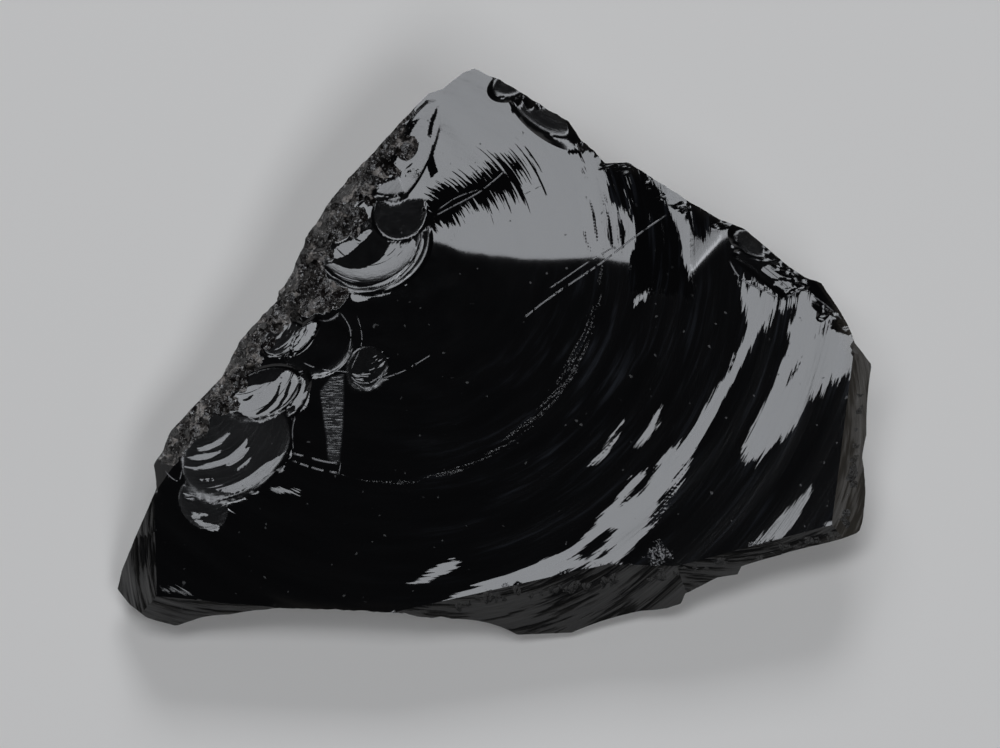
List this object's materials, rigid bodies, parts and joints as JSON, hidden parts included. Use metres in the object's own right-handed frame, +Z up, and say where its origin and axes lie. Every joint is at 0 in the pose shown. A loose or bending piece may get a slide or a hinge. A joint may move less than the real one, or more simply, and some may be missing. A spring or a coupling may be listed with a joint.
{
  "type": "obsidian chunk",
  "caption": "Broken lump of black volcanic glass with a glossy rippled main face, flaked edges and a flat back it rests on.",
  "frame": {"origin": "centre of the bounding box's bottom face, on the surface the chunk lies on", "axes": "+X along the long side of the main face, +Z up; the main face looks up and leans 16 degrees towards -Y"},
  "size_m": [0.1216, 0.0902, 0.0332],
  "materials": {
    "obsidian": "freshly broken volcanic glass: near-black, mirror-glossy, smoky grey-brown at crushed and thin edges"
  },
  "bodies": {
    "root": {"obsidian_chunk": "obsidian"}
  },
  "joints": []
}
